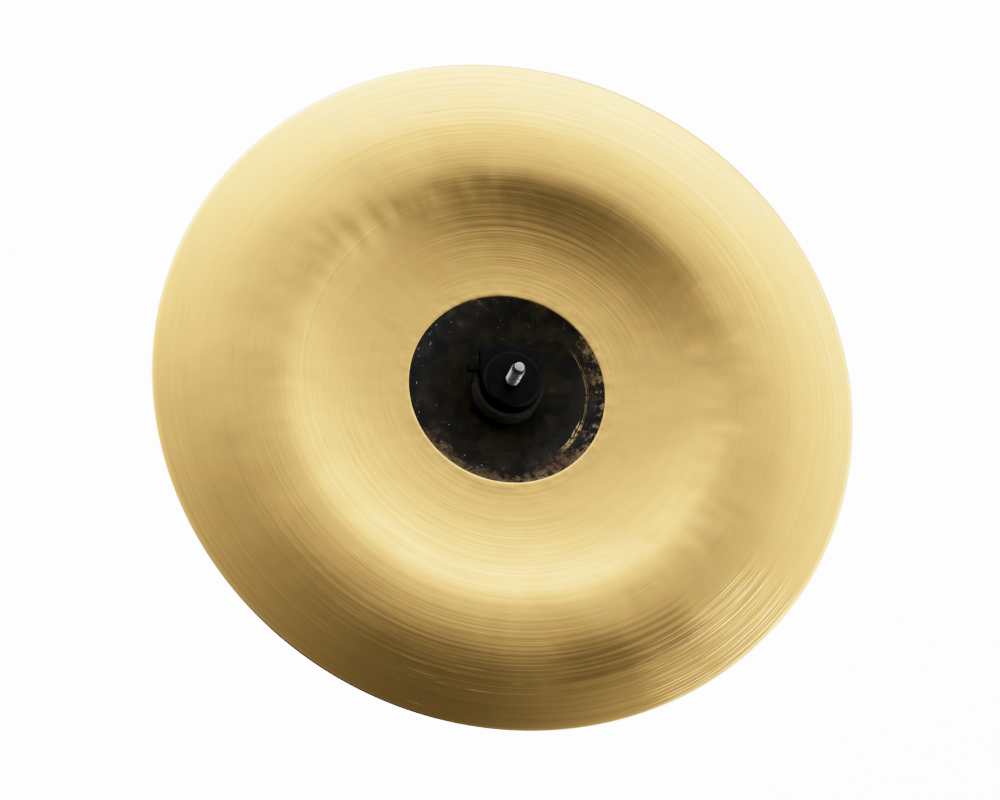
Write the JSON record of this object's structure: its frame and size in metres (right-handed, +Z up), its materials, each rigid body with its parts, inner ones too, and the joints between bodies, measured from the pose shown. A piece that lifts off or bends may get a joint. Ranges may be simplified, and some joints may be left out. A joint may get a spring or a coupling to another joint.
{
  "type": "china cymbal",
  "caption": "Hand-hammered china cymbal with a flared flange, hung upside down on a stepless tilter under a quick-release nut.",
  "frame": {"origin": "middle of the mouth of the socket that takes the stand's tube", "axes": "+Z up the stud towards the played face, +X along the tilter's pivot towards the wing bolt, +Y away from the socket's pinch screw"},
  "size_m": [0.4064, 0.4064, 0.1479],
  "materials": {
    "bronze": "lathed bronze, pale gold, with a dark unlathed bell",
    "chrome_plate": "bright chrome plate on die-cast metal",
    "bright_steel": "bright zinc-plated steel",
    "jaw_brass": "plain machined brass",
    "black_plastic": "fine satin moulded plastic",
    "black_nylon": "smooth extruded nylon",
    "fibre": "pressed fibre friction sheet",
    "grey_felt": "dense wool felt",
    "black_felt": "dense black wool felt"
  },
  "bodies": {
    "base": {"tilter_base": "chrome_plate", "friction_disc": "fibre", "bolt_washer": "bright_steel", "pivot_nut": "bright_steel"},
    "pinch_screw": {"socket_screw": "bright_steel"},
    "wing": {"wing_bolt": "chrome_plate"},
    "head": {"tilter_head": "chrome_plate", "stud": "bright_steel", "stud_lock_nut": "bright_steel", "seat_washer": "bright_steel"},
    "felts": {"cymbal_sleeve": "black_nylon", "lower_felt": "grey_felt", "bell_felt": "black_felt", "top_felt": "grey_felt"},
    "plate": {"cymbal": "bronze"},
    "nut": {"nut_base": "black_plastic", "nut_housing": "black_plastic", "nut_cap": "black_plastic", "release_spring": "bright_steel"},
    "button": {"release_button": "black_plastic", "thread_jaw": "jaw_brass"}
  },
  "joints": [
    {"name": "tilt", "type": "hinge", "parent": "base", "child": "head", "pos_m": [0, 0, 0.048], "axis": [1, 0, 0], "range_deg": [-90, 90]},
    {"name": "wing_turn", "type": "hinge", "parent": "base", "child": "wing", "pos_m": [0, 0, 0.048], "axis": [1, 0, 0], "continuous": true},
    {"name": "pinch_screw_turn", "type": "hinge", "parent": "base", "child": "pinch_screw", "pos_m": [0, 0, 0.014], "axis": [0, 1, 0], "continuous": true},
    {"name": "cymbal_spin", "type": "hinge", "parent": "head", "child": "felts", "pos_m": [0, 0, 0.1], "axis": [0, 0, 1], "continuous": true},
    {"name": "cymbal_rock", "type": "hinge", "parent": "felts", "child": "plate", "pos_m": [0, 0, 0.1002], "axis": [1, 0, 0], "range_deg": [-10, 10], "stiffness_Nm_per_rad": 3, "deforming": ["lower_felt", "bell_felt", "top_felt"]},
    {"name": "nut_lift", "type": "slide", "parent": "head", "child": "nut", "axis": [0, 0, 1], "range_m": [0, 0.032]},
    {"name": "button_press", "type": "slide", "parent": "nut", "child": "button", "axis": [1, 0, 0], "range_m": [0, 0.003], "stiffness_N_per_m": 300, "springref_m": -0.002, "deforming": ["release_spring"]}
  ]
}
